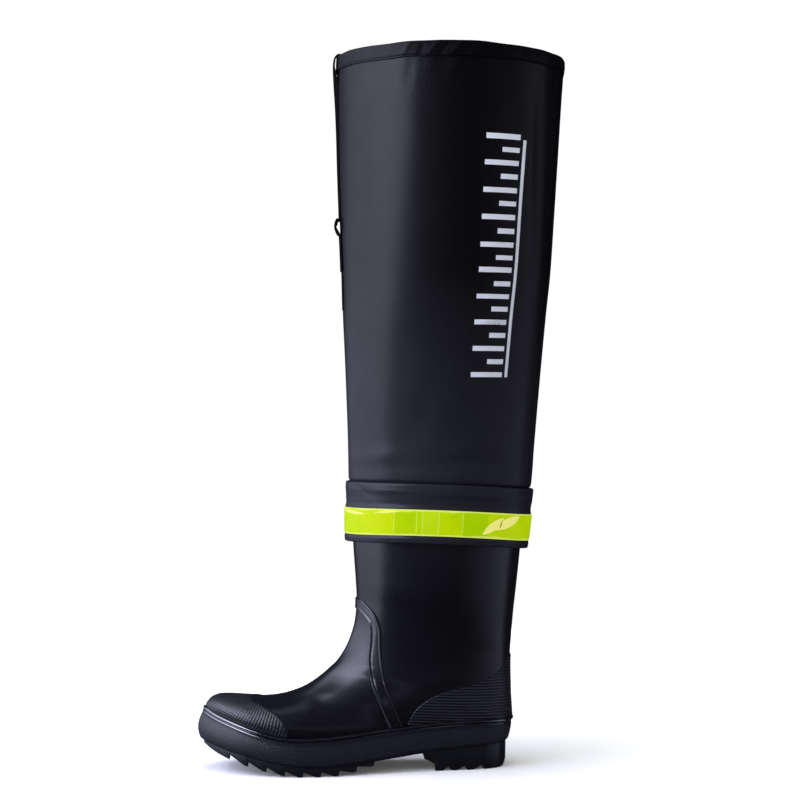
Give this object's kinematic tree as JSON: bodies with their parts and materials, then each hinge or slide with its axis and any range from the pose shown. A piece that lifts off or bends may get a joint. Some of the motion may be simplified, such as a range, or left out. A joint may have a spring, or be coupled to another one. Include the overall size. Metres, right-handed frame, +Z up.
{
  "type": "rubber boot",
  "caption": "Thigh-length rubber boot: moulded foot with knurled toe cap, ribbed heel counter and lugged sole, tall coated-fabric shaft, cuff with reflective tape, webbing hanging strap.",
  "frame": {"origin": "on the floor under the middle of the boot's bounding box", "axes": "+X to the toe, +Y to the outer side of this left boot, +Z up"},
  "size_m": [0.352, 0.1784, 0.6814],
  "materials": {
    "rubber": "satin",
    "layer": "textured satin",
    "sole": "satin",
    "fabric": "rubber coated",
    "tape": "fluorescent, glossy",
    "webbing": "woven",
    "sock": "matte"
  },
  "bodies": {
    "root": {"upper": "rubber", "outsole": "sole", "insole": "sock", "toe_cap": "layer", "heel_counter": "layer", "instep_band": "layer", "shaft": "fabric", "cuff": "fabric", "reflective_tape": "tape", "top_hem": "fabric", "back_seam": "fabric", "hanger_strap": "webbing", "strap_base": "webbing"}
  },
  "joints": []
}
